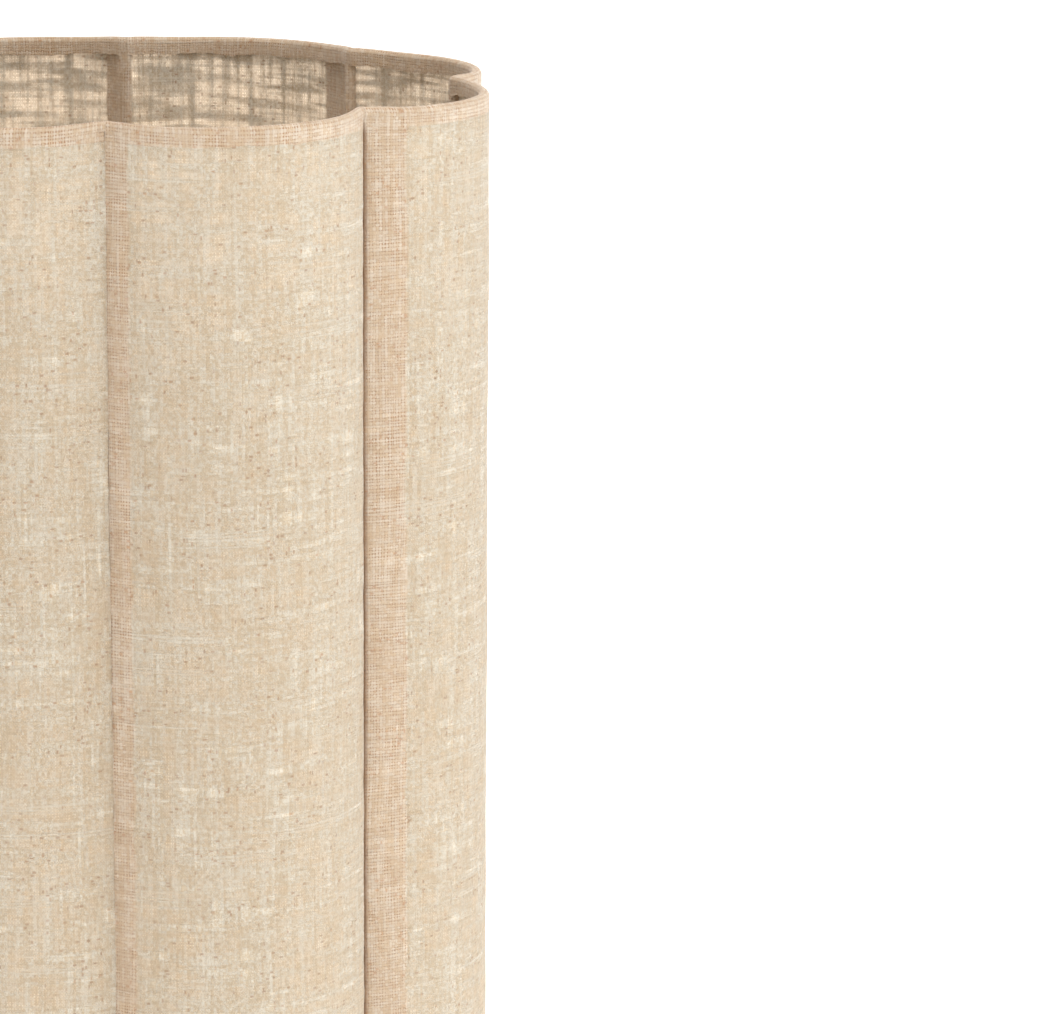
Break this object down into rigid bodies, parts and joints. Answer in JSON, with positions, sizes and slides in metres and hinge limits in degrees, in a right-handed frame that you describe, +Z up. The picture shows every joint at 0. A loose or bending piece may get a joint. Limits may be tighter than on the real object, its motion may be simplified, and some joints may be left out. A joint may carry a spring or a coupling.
{
  "type": "lamp shade",
  "caption": "Tall straight lamp shade with a scalloped plan, linen panels seamed over a wire frame, open top and a fitter ring near the bottom rim.",
  "frame": {"origin": "centre of the bottom rim, on the surface the shade would stand on", "axes": "+Z up the shade's axis towards the open top; -Y towards the front cusp seam; +X to the right seen from the front"},
  "size_m": [0.2414, 0.2414, 0.35],
  "materials": {
    "linen": "natural undyed coarse linen, plain weave with slubs, unlined and translucent",
    "frame_enamel": "white enamelled wire and flat ring, satin",
    "reducer_plastic": "moulded white plastic, fine matt"
  },
  "bodies": {
    "shade": {"panel_1": "linen", "panel_2": "linen", "panel_3": "linen", "panel_4": "linen", "panel_5": "linen", "panel_6": "linen", "panel_7": "linen", "panel_8": "linen", "seam_allowance_1": "linen", "seam_allowance_2": "linen", "seam_allowance_3": "linen", "seam_allowance_4": "linen", "seam_allowance_5": "linen", "seam_allowance_6": "linen", "seam_allowance_7": "linen", "seam_allowance_8": "linen", "bottom_hem": "linen", "top_hem": "linen", "bottom_ring": "frame_enamel", "top_ring": "frame_enamel", "strut_1": "frame_enamel", "strut_2": "frame_enamel", "strut_3": "frame_enamel", "strut_4": "frame_enamel", "strut_5": "frame_enamel", "strut_6": "frame_enamel", "strut_7": "frame_enamel", "strut_8": "frame_enamel", "fitter_ring": "frame_enamel", "fitter_arm_1": "frame_enamel", "fitter_arm_2": "frame_enamel", "fitter_arm_3": "frame_enamel", "fitter_arm_4": "frame_enamel"},
    "reducer": {"reducer_ring": "reducer_plastic"}
  },
  "joints": [
    {"name": "reducer_lift", "type": "slide", "parent": "shade", "child": "reducer", "axis": [0, 0, 1], "range_m": [0, 0.03]}
  ]
}
